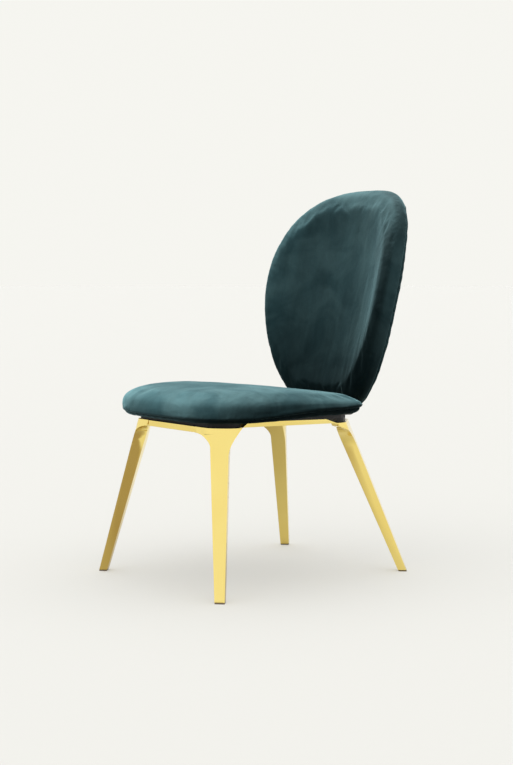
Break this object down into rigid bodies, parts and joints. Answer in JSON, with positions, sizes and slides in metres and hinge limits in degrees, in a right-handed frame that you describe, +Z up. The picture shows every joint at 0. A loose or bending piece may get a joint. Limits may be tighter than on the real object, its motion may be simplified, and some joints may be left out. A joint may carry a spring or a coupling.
{
  "type": "dining chair",
  "caption": "Dining chair with a padded velvet seat, an egg-shaped velvet back and a polished gold-tone metal frame on tapered splayed legs.",
  "frame": {"origin": "on the floor, under the middle of the chair's bounding box", "axes": "+Z up; the sitter faces -Y, the back is at +Y; +X is the sitter's left"},
  "size_m": [0.5028, 0.7098, 0.9424],
  "materials": {
    "gold_frame": "mirror polished, gold tone",
    "foot_glides": "matte brown nylon",
    "black_packing": "black paint on plywood",
    "plywood": "bare plywood",
    "dust_cover": "black non-woven cloth",
    "velvet": "short-pile velvet, grey-teal",
    "upright_steel": "black powder coat",
    "screws": "zinc plated"
  },
  "bodies": {
    "root": {"leg_front_left": "gold_frame", "leg_front_right": "gold_frame", "leg_rear_left": "gold_frame", "leg_rear_right": "gold_frame", "apron_front": "gold_frame", "apron_rear": "gold_frame", "side_rail_left": "gold_frame", "side_rail_right": "gold_frame", "foot_glide_front_left": "foot_glides", "foot_glide_front_right": "foot_glides", "foot_glide_rear_left": "foot_glides", "foot_glide_rear_right": "foot_glides", "corner_block_front_left": "black_packing", "corner_block_front_right": "black_packing", "corner_block_rear_left": "black_packing", "corner_block_rear_right": "black_packing", "batten_front": "black_packing", "batten_rear": "black_packing", "seat_board": "black_packing", "dust_cover": "dust_cover", "seat_border": "velvet", "seat_cushion": "velvet", "back_pad_front": "velvet", "back_panel_rear": "velvet", "back_board": "plywood", "back_upright_left": "upright_steel", "back_upright_right": "upright_steel", "screw_frame_front_left": "screws", "screw_frame_front_right": "screws", "screw_frame_rear_left": "screws", "screw_frame_rear_right": "screws", "screw_seat_1_left": "screws", "screw_seat_1_right": "screws", "screw_seat_2_left": "screws", "screw_seat_2_right": "screws", "screw_back_1_left": "screws", "screw_back_1_right": "screws", "screw_back_2_left": "screws", "screw_back_2_right": "screws"}
  },
  "joints": []
}
